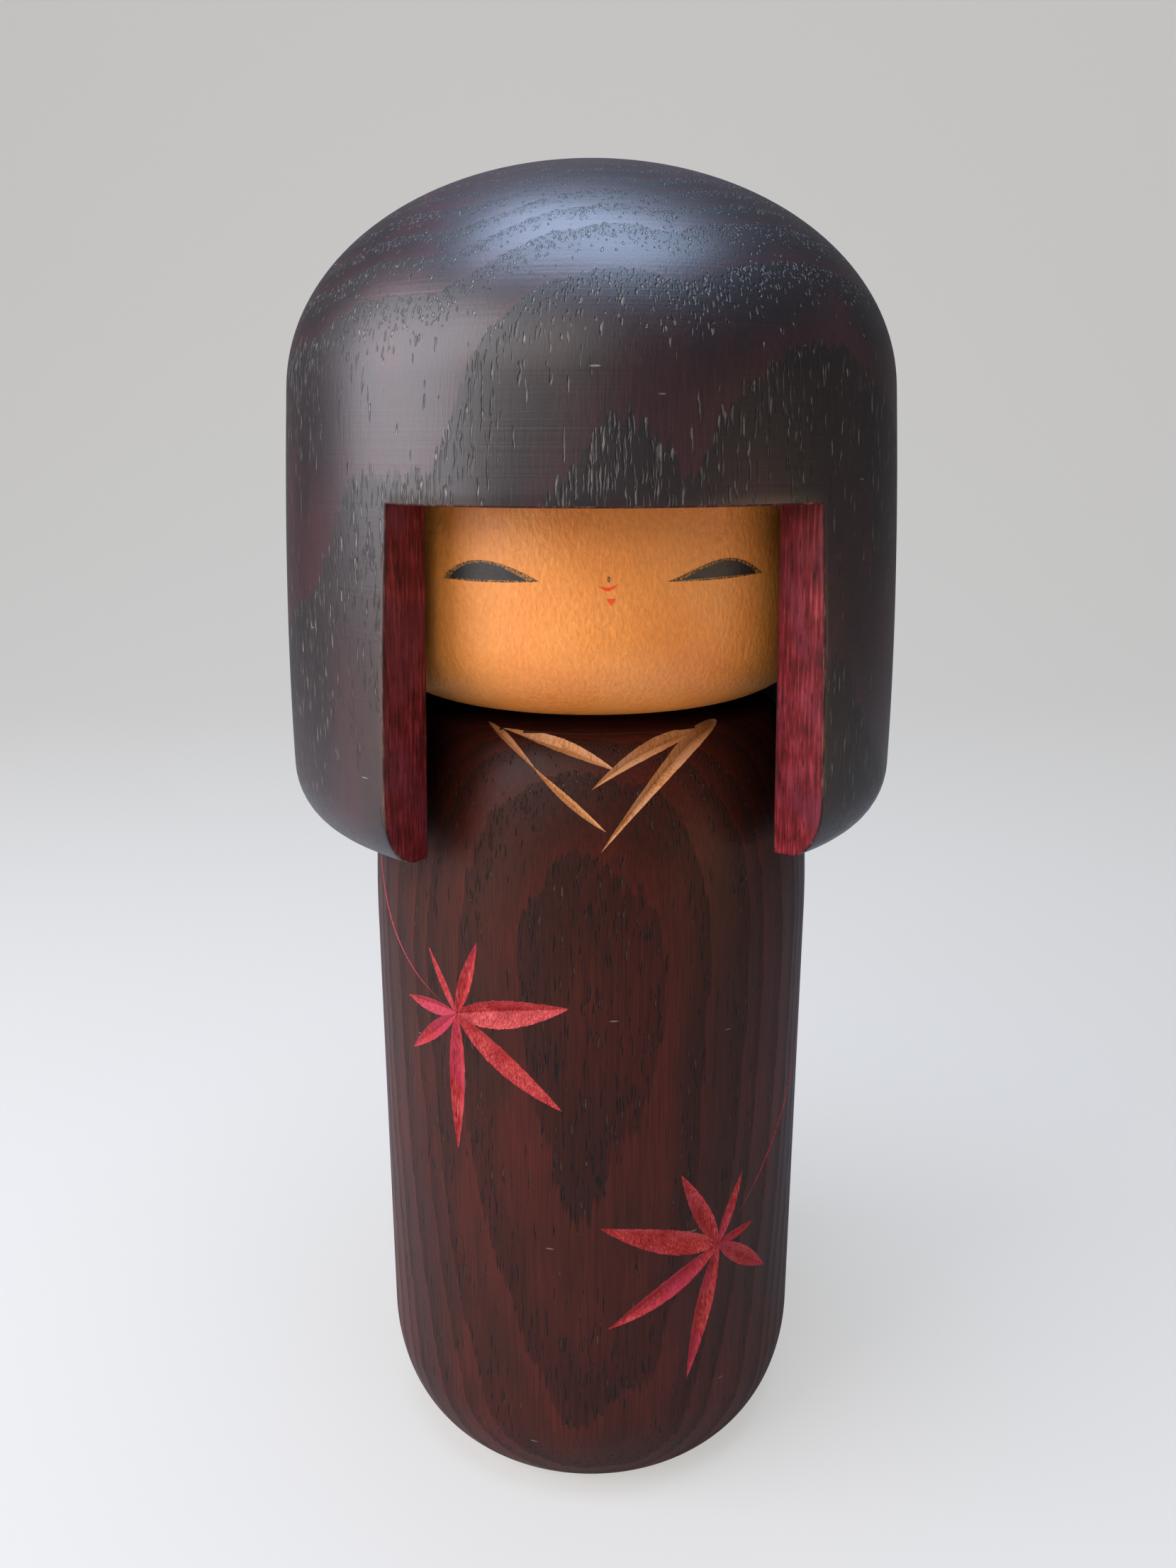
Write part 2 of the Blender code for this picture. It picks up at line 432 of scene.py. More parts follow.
# %% [markdown]
# The dark wood is keyaki (zelkova), a ring-porous timber. Each spring the tree lays down a band of
# wide pores, and then dense, smooth wood until autumn. A turner cuts through those bands like
# through an onion, so the pattern on the doll is where its surface crosses the rings. An image
# wrapped round the piece would never do that right on the dome, the shoulder and the side at once.
#
# So the wood is built as a solid: every point gets its distance from the tree's centre line (the
# pith), bent by a slow sway, and that distance says which year's ring it is in. A pore is a long
# thin vertical tube. A cell pattern stretched along Z gives tubes that show as strokes on the
# sides and as dots on the dome, all from the same numbers.
#
# Stained black-brown, the pores stay open under a thin satin lacquer. Autumn wood is glossy and
# almost black; spring wood is duller, and the light that its pore edges catch is painted into the colour
# as a painted highlight of fine grey strokes.

# %% Curves and ramps as tables
def bend(node, points):
    """Gives a Float Curve node straight stretches between (x, y) points, x and y from 0 to 1."""
    curve = node.mapping.curves[0]
    while len(curve.points) < len(points):
        curve.points.new(0.5, 0.5)
    for spot, (x, y) in zip(curve.points, points):
        spot.location = (x, y)
        spot.handle_type = "VECTOR"
    node.mapping.update()


def stops(node, colours):
    """Gives a Color Ramp node its (position, colour) stops."""
    ramp = node.color_ramp
    while len(ramp.elements) < len(colours):
        ramp.elements.new(0.5)
    for stop, (position, colour) in zip(ramp.elements, colours):
        stop.position = position
        stop.color = colour


def grey(level):
    return (level, level, level, 1.0)


# %% Keyaki as a solid
FIELD_LOW, FIELD_HIGH = -60.0, 80.0  # millimetres of ring field that the ring table spans
SWAY_RANGE = 16.0  # millimetres of sway that the sway table spans
PORE_SPACING = 0.5  # millimetres between tubes, as coarse as it needs to be to show
PORE_LENGTH = 7.0
RAGGED = 0.55  # millimetres by which single tubes move a ring's edge
GRAIN_NOISES = {  # scale per millimetre, shift, detail, roughness
    "slow": ((0.045, 0.045, 0.014), (0, 0, 0), 2.0, 0.5),
    "ragged": ((1 / 0.9, 1 / 0.9, 1 / 11), (0, 0, 0), 1.0, 0.5),
    "wander": ((0.7, 0.7, 0.35), (0, 0, 0), 1.0, 0.5),
    "fibre": ((1 / 0.35, 1 / 0.35, 1 / 16), (0, 0, 0), 3.0, 0.6),
    "blotch": ((0.05, 0.05, 0.02), (3.1, 0.4, 1.7), 4.0, 0.55),
}


def stained_keyaki(
    name, pith, origin, taper, belly, belly_height, sway, rings, wobble,
    stain, density, late_warmth, pore_width, painted_glint_colour, painted_glint_share, gloss, shine,
):
    """Ring-porous wood through the whole piece. Lengths are millimetres.

    pith: (x, y) of the tree's centre line; origin: the distance from it that counts as zero;
    taper: how much the rings lean in per mm of height;
    belly: how far the rings bulge at belly_height; sway: (degrees from the front, mm) pairs;
    rings: where each year begins; wobble: uneven growth; stain: spring, autumn and warm colours;
    painted_glint_colour: the painted highlight colour on pore edges; painted_glint_share: how
    many pores show it; gloss: autumn and spring roughness.
    """
    finish, tree, shader = new_finish(name)
    mm = in_millimetres(tree)
    axes = add(tree, "SeparateXYZ", {0: mm}).outputs
    x, y, z = axes[0], axes[1], axes[2]

    # Distance from the pith, leaning and bulging with height.
    flat = add(tree, "CombineXYZ", {0: x, 1: y}).outputs[0]
    centre = (pith[0], pith[1], 0)
    reach = add(tree, "VectorMath", {0: flat, 1: centre}, operation="DISTANCE").outputs["Value"]
    reach = add(tree, "Math", {0: reach, 1: origin}, operation="SUBTRACT").outputs[0]
    lean = add(tree, "Math", {0: z, 1: -taper, 2: reach}, operation="MULTIPLY_ADD").outputs[0]
    rise_range = {0: z, 1: belly_height - 100, 2: belly_height + 100, 3: -1, 4: 1}
    rise = add(tree, "MapRange", rise_range, clamp=False).outputs[0]
    bulge = add(tree, "Math", {0: rise, 1: rise}, operation="MULTIPLY").outputs[0]
    leaned = add(tree, "Math", {0: bulge, 1: -belly, 2: lean}, operation="MULTIPLY_ADD").outputs[0]

    # The slow sway of the rings round the piece.
    behind = add(tree, "Math", {0: y, 1: -1.0}, operation="MULTIPLY").outputs[0]
    azimuth = add(tree, "Math", {0: x, 1: behind}, operation="ARCTAN2").outputs[0]
    round_share = add(tree, "MapRange", {0: azimuth, 1: -pi, 2: pi}).outputs[0]
    sway_curve = add(tree, "FloatCurve", {"Value": round_share})
    bend(sway_curve, [(0.5 + a / 360, 0.5 + w / SWAY_RANGE) for a, w in sway])
    sway_range = {0: sway_curve.outputs[0], 3: -SWAY_RANGE / 2, 4: SWAY_RANGE / 2}
    swayed = add(tree, "MapRange", sway_range).outputs[0]

    # Every unevenness is a noise stretched along the grain.
    noises = {}
    for key, (scale, shift, detail, roughness) in GRAIN_NOISES.items():
        spread = add(tree, "Mapping", {0: mm, "Location": shift, "Scale": scale}).outputs[0]
        grain = {"Vector": spread, "Scale": 1.0, "Detail": detail, "Roughness": roughness}
        noises[key] = add(tree, "TexNoise", grain).outputs
    fibre, blotch = noises["fibre"][0], noises["blotch"][0]

    # Large knots of growth and the ragged edge that single tubes give to a ring.
    field = leaned
    slow_mm = add(tree, "MapRange", {0: noises["slow"][0], 3: -wobble, 4: wobble}).outputs[0]
    ragged_mm = add(tree, "MapRange", {0: noises["ragged"][0], 3: -RAGGED, 4: RAGGED}).outputs[0]
    for part in (swayed, slow_mm, ragged_mm):
        field = add(tree, "Math", {0: field, 1: part}, operation="ADD").outputs[0]

    # Which year it is, and how far into the year.
    share = add(tree, "MapRange", {0: field, 1: FIELD_LOW, 2: FIELD_HIGH}).outputs[0]
    years = add(tree, "FloatCurve", {"Value": share})
    count = len(rings) - 1
    span = FIELD_HIGH - FIELD_LOW
    bend(years, [((mark - FIELD_LOW) / span, index / count) for index, mark in enumerate(rings)])
    year = add(tree, "Math", {0: years.outputs[0], 1: count}, operation="MULTIPLY").outputs[0]
    season = add(tree, "Math", {0: year}, operation="FRACT").outputs[0]
    spring = add(tree, "ValToRGB", {0: season})
    spring_stops = [(0.0, 1.0), (0.2, 0.85), (0.42, 0.4), (0.62, 0.09), (0.985, 0.04), (1.0, 0.6)]
    stops(spring, [(position, grey(level)) for position, level in spring_stops])
    spring = spring.outputs[0]

    # Tubes: each cell is one, and a year's spring has many.
    wander = {0: noises["wander"][1], 1: (0.9, 0.9, 0.0), 2: mm}
    wander_mm = add(tree, "VectorMath", wander, operation="MULTIPLY_ADD").outputs[0]
    tubes_scale = (1 / PORE_SPACING, 1 / PORE_SPACING, 1 / PORE_LENGTH)
    tubes_place = add(tree, "Mapping", {0: wander_mm, "Scale": tubes_scale}).outputs[0]
    tubes = add(tree, "TexVoronoi", {"Vector": tubes_place, "Scale": 1.0})
    chance = add(tree, "SeparateXYZ", {0: tubes.outputs["Color"]}).outputs
    there = add(tree, "Math", {0: chance[0], 1: spring}, operation="LESS_THAN").outputs[0]
    middle_out = tubes.outputs["Distance"]
    rim, half_way, heart = pore_width, 0.6 * pore_width, 0.3 * pore_width
    wide = add(tree, "MapRange", {0: middle_out, 1: rim, 2: half_way}).outputs[0]
    pore = add(tree, "Math", {0: wide, 1: there}, operation="MULTIPLY").outputs[0]
    # Painted highlight: in a share of the tubes a pale colour at the core stands in for light caught on
    # the pore's edge.
    core = add(tree, "MapRange", {0: middle_out, 1: half_way, 2: heart}).outputs[0]
    lit = add(tree, "MapRange", {0: chance[1], 1: 1 - painted_glint_share, 2: 1.0, 4: 0.85}).outputs[0]
    painted_glint = add(tree, "Math", {0: core, 1: lit}, operation="MULTIPLY").outputs[0]
    painted_glint = add(tree, "Math", {0: painted_glint, 1: there}, operation="MULTIPLY").outputs[0]

    # Fibres, and blotches where the stain took more or less.
    warm = add(tree, "MapRange", {0: blotch, 1: 0.45, 2: 0.66}).outputs[0]
    dark, middle, ruddy = (linear(colour) for colour in stain)
    late = add(tree, "MapRange", {0: season, 1: 0.72, 2: 0.98, 4: late_warmth}).outputs[0]
    dense = add(tree, "Math", {0: spring, 1: density}, operation="MULTIPLY").outputs[0]
    wood = middle
    for share, tone in ((warm, ruddy), (late, ruddy), (dense, dark)):
        blend = {"Factor": share, 6: wood, 7: tone}
        wood = add(tree, "Mix", blend, data_type="RGBA").outputs[2]
    streak = add(tree, "MapRange", {0: fibre, 1: 0.3, 2: 0.7, 3: 0.66, 4: 1.4}).outputs[0]
    wood = add(tree, "VectorMath", {0: wood, 3: streak}, operation="SCALE").outputs[0]

    # A few nicks from handling.
    scattered = {0: mm, "Rotation": (0.3, 0.9, 0.2), "Scale": (0.09, 0.09, 0.5)}
    nick_place = add(tree, "Mapping", scattered).outputs[0]
    nicks = add(tree, "TexVoronoi", {"Vector": nick_place, "Scale": 1.0})
    rare = add(tree, "SeparateXYZ", {0: nicks.outputs["Color"]}).outputs[0]
    rare = add(tree, "Math", {0: rare, 1: 0.9}, operation="GREATER_THAN").outputs[0]
    nick = add(tree, "MapRange", {0: nicks.outputs["Distance"], 1: 0.09, 2: 0.05}).outputs[0]
    nick = add(tree, "Math", {0: nick, 1: rare}, operation="MULTIPLY").outputs[0]
    nick_tint = add(tree, "Math", {0: nick, 1: 0.5}, operation="MULTIPLY").outputs[0]
    # Dark open pores, the painted highlight on some pore edges, and the pale tint of nicks.
    for share, tone in ((pore, "#0d0809"), (painted_glint, painted_glint_colour), (nick_tint, "#8c7f7c")):
        blend = {"Factor": share, 6: wood, 7: linear(tone)}
        wood = add(tree, "Mix", blend, data_type="RGBA").outputs[2]
    tree.links.new(wood, shader.inputs["Base Color"])

    # Autumn wood takes the lacquer's polish; spring wood drinks it and stays duller.
    dull = add(tree, "MapRange", {0: spring, 3: gloss[0], 4: gloss[1]}).outputs[0]
    dull = add(tree, "Math", {0: blotch, 1: 0.12, 2: dull}, operation="MULTIPLY_ADD").outputs[0]
    tree.links.new(dull, shader.inputs["Roughness"])
    shader.inputs["Specular IOR Level"].default_value = shine[0]
    shader.inputs["Coat Weight"].default_value = shine[1]
    shader.inputs["Coat Roughness"].default_value = 0.3

    # Relief: open tubes, fibres, and the faint rings that the turning tool leaves.
    lathe_place = add(tree, "Mapping", {0: mm, "Scale": (0.01, 0.01, 2.2)}).outputs[0]
    lathe = add(tree, "TexNoise", {"Vector": lathe_place, "Scale": 1.0}).outputs[0]
    relief = add(tree, "Math", {0: lathe, 1: 0.3}, operation="MULTIPLY").outputs[0]
    for part, weight in ((fibre, 0.35), (pore, -1.0), (nick, -0.8)):
        step = {0: part, 1: weight, 2: relief}
        relief = add(tree, "Math", step, operation="MULTIPLY_ADD").outputs[0]
    bump = add(tree, "Bump", {"Height": relief, "Distance": 0.11 * MM, "Strength": 0.9})
    tree.links.new(bump.outputs[0], shader.inputs["Normal"])
    return finish


HOOD_SWAY = [
    (-180, -4), (-120, -5), (-57, -6.8), (-50, -6.2), (-45, -5.5), (-40, -5.8), (-33, -6.3),
    (-28, -6.4), (-24, -5.3), (-20, -4), (-15, -2.3), (-10, -0.9), (-6, -0.8), (-1, 0),
    (3, -0.2), (8, -1), (12, -1.9), (16, -0.8), (21, -0.1), (32, 0.9), (42, 1), (50, 0),
    (90, -2), (140, -3.4), (180, -4),
]
HOOD_RINGS = [
    -20, -15, -9, -3, 2.5, 8, 13, 17.5, 21.8, 26.6, 30.5, 34.5, 40.6, 47.5, 54, 60, 66, 73, 80,
]
hood_wood = stained_keyaki(
    "black_stained_keyaki_hood",
    pith=(-2.7, 3.1),
    origin=0.0,
    taper=0.06,
    belly=0.0,
    belly_height=200.0,
    sway=HOOD_SWAY,
    rings=HOOD_RINGS,
    wobble=0.5,
    stain=("#0b0709", "#191014", "#2f1519"),
    density=0.85,
    late_warmth=0.6,
    pore_width=0.48,
    # pale grey painted highlight for the pore edges
    painted_glint_colour="#80776f",
    painted_glint_share=0.8,
    gloss=(0.34, 0.41),
    shine=(0.5, 0.18),
)
BODY_SWAY = [
    (-180, 0), (-130, 1.5), (-80, 0.4), (-45, -1.2), (-25, -0.7), (-8, -0.2), (4, -0.9), (12, -0.1),
    (28, -0.6), (60, 0.8), (110, -0.5), (150, 1), (180, 0),
]
BODY_RINGS = [-52 + 3.4 * year + 0.7 * sin(2.1 * year) for year in range(29)] + [47.5]
body_wood = stained_keyaki(
    "dark_stained_keyaki_body",
    pith=(12.0, 150.0),
    origin=150.0,
    taper=0.0,
    belly=4.5,
    belly_height=138.0,
    sway=BODY_SWAY,
    rings=BODY_RINGS,
    wobble=1.2,
    stain=("#1c0a06", "#301209", "#43160e"),
    density=0.45,
    late_warmth=0.5,
    pore_width=0.38,
    # brown painted highlight for the pore edges
    painted_glint_colour="#63483a",
    painted_glint_share=0.5,
    gloss=(0.4, 0.5),
    shine=(0.16, 0.03),
)
print("ring-porous finishes:", hood_wood.name, body_wood.name)

# %% [markdown]
# Where the wood is sawn or gouged after turning, the cut is open: no black stain, no polish. The
# window's sides are painted crimson over fibres that the saw left standing. The leaves are
# gouged through the dark skin and wiped with red dye, which the fibres take unevenly. The collar
# is left as bare, oiled keyaki.
#
# All three are the same idea with other colours: fibres along the grain, a little unevenness of
# the colour across them, and a relief of the same fibres.

# %% Cut wood
def cut_keyaki(
    name, deep, main, pale, other, rough, fibre_width, fibre_length, paleness, relief_depth
):
    """Open fibres after a cut. Widths and lengths are millimetres; paleness is from 0 to 1.

    other is the hue that the colour drifts to in patches.
    """
    finish, tree, shader = new_finish(name)
    mm = in_millimetres(tree)
    fibre_scale = (1 / fibre_width, 1 / fibre_width, 1 / fibre_length)
    fibre_place = add(tree, "Mapping", {0: mm, "Scale": fibre_scale}).outputs[0]
    coarse = {"Vector": fibre_place, "Scale": 1.0, "Detail": 4.0, "Roughness": 0.65}
    fibre = add(tree, "TexNoise", coarse).outputs[0]
    uneven = add(tree, "TexNoise", {"Vector": mm, "Scale": 0.22, "Detail": 3.0}).outputs[0]
    shade = add(tree, "Math", {0: uneven, 1: 0.45, 2: fibre}, operation="MULTIPLY_ADD").outputs[0]
    ramp = add(tree, "ValToRGB", {0: shade})
    stops(ramp, [(0.5, linear(deep)), (0.72, linear(main)), (1.02 - 0.2 * paleness, linear(pale))])
    patch = add(tree, "TexNoise", {"Vector": mm, "Scale": 0.11, "Detail": 2.0}).outputs[0]
    drift = add(tree, "MapRange", {0: patch, 1: 0.46, 2: 0.62, 4: 0.6}).outputs[0]
    colour = ramp.outputs[0]
    speck_place = add(tree, "Mapping", {0: mm, "Scale": (1 / 0.5, 1 / 0.5, 1 / 2.6)}).outputs[0]
    specks = add(tree, "TexVoronoi", {"Vector": speck_place, "Scale": 1.0})
    chance = add(tree, "SeparateXYZ", {0: specks.outputs["Color"]}).outputs[0]
    seldom = add(tree, "Math", {0: chance, 1: 0.22}, operation="LESS_THAN").outputs[0]
    speck = add(tree, "MapRange", {0: specks.outputs["Distance"], 1: 0.42, 2: 0.24}).outputs[0]
    speck = add(tree, "Math", {0: speck, 1: seldom}, operation="MULTIPLY").outputs[0]
    speck_tint = add(tree, "Math", {0: speck, 1: 0.55}, operation="MULTIPLY").outputs[0]
    for share, tone in ((drift, other), (speck_tint, deep)):
        blend = {"Factor": share, 6: colour, 7: linear(tone)}
        colour = add(tree, "Mix", blend, data_type="RGBA").outputs[2]
    tree.links.new(colour, shader.inputs["Base Color"])
    shader.inputs["Specular IOR Level"].default_value = 0.2
    dull = add(tree, "MapRange", {0: fibre, 1: 0.3, 2: 0.7, 3: rough + 0.1, 4: rough - 0.08}).outputs[0]
    tree.links.new(dull, shader.inputs["Roughness"])
    height = add(tree, "Math", {0: speck, 1: -0.6, 2: fibre}, operation="MULTIPLY_ADD").outputs[0]
    bump = add(tree, "Bump", {"Height": height, "Distance": relief_depth * MM, "Strength": 0.9})
    tree.links.new(bump.outputs[0], shader.inputs["Normal"])
    return finish


bare_cut = cut_keyaki(
    "bare_gouged_keyaki", "#8a5830", "#b67c4a", "#d0a070", "#b08060", 0.55, 0.3, 1.2, 0.3, 0.06
)
red_cut = cut_keyaki(
    "red_dyed_gouged_keyaki", "#6a1116", "#9c2628", "#c4605c", "#9c2646", 0.5, 0.3, 1.6, 0.1, 0.12
)
crimson_cut = cut_keyaki(
    "crimson_painted_sawn_keyaki",
    "#26060a", "#5f1118", "#9a3a42", "#5a2030", 0.46, 0.5, 9.0, 0.1, 0.2
)
worn_arris = cut_keyaki(
    "worn_arris_keyaki", "#1d0f10", "#3c1b1b", "#7c5040", "#2a1517", 0.5, 0.7, 5.0, 0.3, 0.1
)

# %% [markdown]
# The face is mizuki (dogwood), a pale wood without open pores that takes paint well. It is dyed
# amber and lacquered. The lacquer has dried with a skin of tiny wrinkles, like fine leather, so
# its highlight breaks up into grain instead of sliding over it like glass.

# %% Amber face lacquer
face_lacquer, tree, shader = new_finish("amber_lacquered_mizuki")
mm = in_millimetres(tree)
cloud = add(tree, "TexNoise", {"Vector": mm, "Scale": 0.06, "Detail": 3.0}).outputs[0]
wrinkle_place = add(tree, "Mapping", {0: mm, "Scale": (1.0, 1.0, 0.55)}).outputs[0]
creases = {"Scale": 1.5, "Detail": 3.0, "Roughness": 0.6, "Distortion": 0.8}
wrinkle = add(tree, "TexNoise", {"Vector": wrinkle_place, **creases}).outputs[0]
cells = {"Vector": wrinkle_place, "Scale": 1.35}
pebble = add(tree, "TexVoronoi", cells, feature="SMOOTH_F1").outputs["Distance"]
amber = add(tree, "ValToRGB", {0: cloud})
stops(amber, [(0.3, linear("#d58035")), (0.5, linear("#db893d")), (0.72, linear("#e09146"))])
pale = add(tree, "MapRange", {0: wrinkle, 1: 0.35, 2: 0.7, 3: 0.9, 4: 1.08}).outputs[0]
amber = add(tree, "VectorMath", {0: amber.outputs[0], 3: pale}, operation="SCALE").outputs[0]
tree.links.new(amber, shader.inputs["Base Color"])
dull = add(tree, "MapRange", {0: wrinkle, 3: 0.34, 4: 0.5}).outputs[0]
tree.links.new(dull, shader.inputs["Roughness"])
height = add(tree, "Math", {0: pebble, 1: -0.8, 2: wrinkle}, operation="MULTIPLY_ADD").outputs[0]
bump = add(tree, "Bump", {"Height": height, "Distance": 0.16 * MM, "Strength": 0.8})
tree.links.new(bump.outputs[0], shader.inputs["Normal"])


# %% [markdown]
# The eyes, the mouth and the small nose are brushed on. Such paint is thin and matt beside the
# lacquer, and it is never one flat colour, because a dry brush leaves its load in streaks.

# %% Brush paints
def brush_paint(name, main, second, rough, mottle):
    """Thin water paint: two colours that a dry brush leaves side by side, mottle mm apart."""
    finish, tree, shader = new_finish(name)
    place = add(tree, "TexCoord").outputs["Object"]
    spots = add(tree, "TexNoise", {"Vector": place, "Scale": 1000 / mottle, "Detail": 2.0}).outputs[0]
    ramp = add(tree, "ValToRGB", {0: spots})
    stops(ramp, [(0.42, linear(main)), (0.6, linear(second))])
    tree.links.new(ramp.outputs[0], shader.inputs["Base Color"])
    shader.inputs["Roughness"].default_value = rough
    bump = add(tree, "Bump", {"Height": spots, "Distance": 0.03 * MM, "Strength": 0.5})
    tree.links.new(bump.outputs[0], shader.inputs["Normal"])
    return finish


eye_lacquer = brush_paint("slate_eye_paint", "#14191b", "#1f2528", 0.45, 0.8)
lip_paint = brush_paint("vermilion_lip_paint", "#dc3c00", "#e04c08", 0.6, 0.6)
line_paint = brush_paint("burnt_umber_line_paint", "#33231a", "#a8742e", 0.5, 0.35)

# %% [markdown]
# Now the carving. The collar is five strokes: two thin ones for the under-robe, and three broader
# ones that cross below the chin. Every stroke starts and ends in a point, and each has its own
# fullest place.

# %% Collar strokes
body.data.materials.append(body_wood)
COLLAR_SLOPE = 0.85
collar = [
    ("collar_left_top", [(-38.5, -2.1), (-27.0, 2.6), (-16.8, 8.2)], 1.5, 0.4),
    ("collar_left_low", [(-18.5, 7.2), (0.5, 18.7)], 1.4, 0.55),
    ("lapel_left", [(-31.0, -0.4), (-13.0, 2.7), (3.2, 8.0)], 2.7, 0.5),
    ("lapel_right", [(33.5, 0.2), (13.5, 4.0), (-2.8, 11.3)], 2.9, 0.42),
    ("collar_right", [(41.6, -1.4), (19.5, 6.6), (-0.6, 22.3)], 3.4, 0.33),
]
collar_cutters = [
    gouge_stroke(
        name,
        [(azimuth, down * MM) for azimuth, down in spots],
        width * MM,
        COLLAR_SLOPE,
        bare_cut,
        fullest,
        wander=0.05,
    )
    for name, spots, width, fullest in collar
]
carve(body, collar_cutters)

# %% [markdown]
# Each maple leaf is seven lobes that fan out from one place, with a hair-thin stalk. The lobes are
# blunt where they meet and run out to a point. They differ in length and width as a real leaf's
# do: the two widest reach towards the doll's middle.

# %% Maple leaves
LEAF_SLOPE = 0.62
LEAF_HEEL = 0.24  # how blunt a lobe is where the lobes meet


def maple_leaf(name, azimuth, height, lobes, stem, stem_width):
    """Strokes that fan out from one place; a lobe is (direction in degrees, length, width) in mm."""
    centre = down_to(height)
    girth = radians(1) * NECK_SIDE_RADIUS

    def spot(direction, distance):
        angle = radians(direction)
        return (azimuth + distance * cos(angle) / girth, centre - distance * sin(angle))

    stalk = [spot(direction, distance * MM) for direction, distance in stem]
    strokes = [gouge_stroke(name + "_stem", stalk, stem_width * MM, 0.6, red_cut, 0.6)]
    for index, (direction, length, width) in enumerate(lobes):
        ends = [spot(direction, 0.0), spot(direction, length * MM)]
        lobe = f"{name}_lobe_{index}"
        strokes.append(
            gouge_stroke(lobe, ends, width * MM, LEAF_SLOPE, red_cut, 0.42, 0.07, LEAF_HEEL)
        )
    return strokes


upper_leaf = maple_leaf(
    "upper_leaf",
    azimuth=-36.9,
    height=108.8 * MM,
    lobes=[
        (12, 23.4, 5.7),
        (-37, 27.0, 4.4),
        (-91, 29.1, 3.7),
        (-138, 17.5, 3.0),
        (-177, 14.0, 3.0),
        (120, 13.7, 1.7),
        (72, 16.3, 2.8),
    ],
    stem=[(158, 2.7), (148, 25.9), (133, 46.7)],
    stem_width=0.5,
)
lower_leaf = maple_leaf(
    "lower_leaf",
    azimuth=30.9,
    height=58.2 * MM,
    lobes=[
        (160, 26.6, 5.4),
        (-149, 27.4, 4.4),
        (-103, 30.3, 4.0),
        (-41, 19.8, 3.9),
        (3, 10.2, 2.2),
        (67, 15.4, 2.6),
        (116, 20.7, 3.7),
    ],
    stem=[(41, 5.3), (44, 30.0), (46, 52.0)],
    stem_width=0.8,
)
carve(body, [*upper_leaf, *lower_leaf])
smooth(body)
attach(body, "torso")
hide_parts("body")
print("carved body:", len(body.data.polygons), "faces")

# %% [markdown]
# The hair is the largest turning: a dome, a side that swells very slightly, and a rim that rounds
# in under itself to meet the bore. The rows of points at and below the fringe are spaced so that
# the outside and the bore have the same number of them, which the window needs later.

# %% Hood outline
hood_low, hood_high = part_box("hair_hood")
HOOD_TOP = hood_high.z
HOOD_RIM = hood_low.z
RIM_RADIUS = hood_high.x
CROWN_START = HOOD_TOP - 38.0 * MM
CROWN_RADIUS = RIM_RADIUS - 3.2 * MM
CROWN_LEAN = 0.083
RIM_RADIAL = 8.8 * MM
RIM_RISE = 11.0 * MM
BORE_RADIUS = RIM_RADIUS - 11.0 * MM
RIM_INNER = 1.0 * MM
CEILING = HOOD_TOP - 36.0 * MM
CEILING_CORNER = 4.0 * MM
FRINGE = 202.7 * MM
WINDOW_HALF_ANGLE = 36.6
WINDOW_SPLAY = 2.2
ELLIPSE_PULL = 0.5523

crown_rise = HOOD_TOP - CROWN_START
crown = french_curve(
    (0.0, HOOD_TOP),
    (ELLIPSE_PULL * CROWN_RADIUS, HOOD_TOP),
    (CROWN_RADIUS - CROWN_LEAN * ELLIPSE_PULL * crown_rise, CROWN_START + ELLIPSE_PULL * crown_rise),
    (CROWN_RADIUS, CROWN_START),
    44,
)
side_end = Vector((RIM_RADIUS, HOOD_RIM + RIM_RISE))
drop = (CROWN_START - side_end.y) / 3
hood_side = french_curve(
    (CROWN_RADIUS, CROWN_START),
    (CROWN_RADIUS + CROWN_LEAN * drop, CROWN_START - drop),
    (side_end.x, side_end.y + drop),
    side_end,
    200,
)


def at_height(curve, height):
    """The point of a falling curve at a height."""
    for here, there in zip(curve, curve[1:]):
        if there.y <= height <= here.y:
            return here.lerp(there, (here.y - height) / (here.y - there.y))
    return curve[-1]


def rows(curve, top, low, count):
    return [at_height(curve, top + (low - top) * i / count) for i in range(count + 1)]


FRINGE_ROWS = 8
WALL_ROWS = 26
ROUND_ROWS = 12
INNER_ROUND_ROWS = 4
above_fringe = rows(hood_side, CROWN_START, FRINGE, FRINGE_ROWS)
below_fringe = rows(hood_side, FRINGE, side_end.y, WALL_ROWS)
rim_outer = arc((RIM_RADIUS - RIM_RADIAL, side_end.y), RIM_RADIAL, RIM_RISE, 0, -90, ROUND_ROWS)
rim_inner = arc(
    (BORE_RADIUS + RIM_INNER, HOOD_RIM + RIM_INNER), RIM_INNER, RIM_INNER, -90, -180, INNER_ROUND_ROWS
)
inner_rows = WALL_ROWS + ROUND_ROWS - INNER_ROUND_ROWS
bore_wall = straight((BORE_RADIUS, HOOD_RIM + RIM_INNER), (BORE_RADIUS, FRINGE), inner_rows)
bore_top = straight((BORE_RADIUS, FRINGE), (BORE_RADIUS, CEILING - CEILING_CORNER), 4)
ceiling = arc(
    (BORE_RADIUS - CEILING_CORNER, CEILING - CEILING_CORNER), CEILING_CORNER, CEILING_CORNER, 0, 90, 6
)
hood_outline = [
    *crown,
    *above_fringe[1:],
    *below_fringe[1:],
    *rim_outer[1:],
    *rim_inner,
    *bore_wall[1:],
    *bore_top[1:],
    *ceiling[1:],
    Vector((0.0, CEILING)),
]

HOOD_STEPS = 300
step_angle = 360 / HOOD_STEPS
hood = spin_piece("turned_hood", hood_outline, HOOD_STEPS, start=-90 + step_angle / 2)
print("hood:", len(hood.data.polygons), "faces,", round(volume_ml(hood)), "ml")

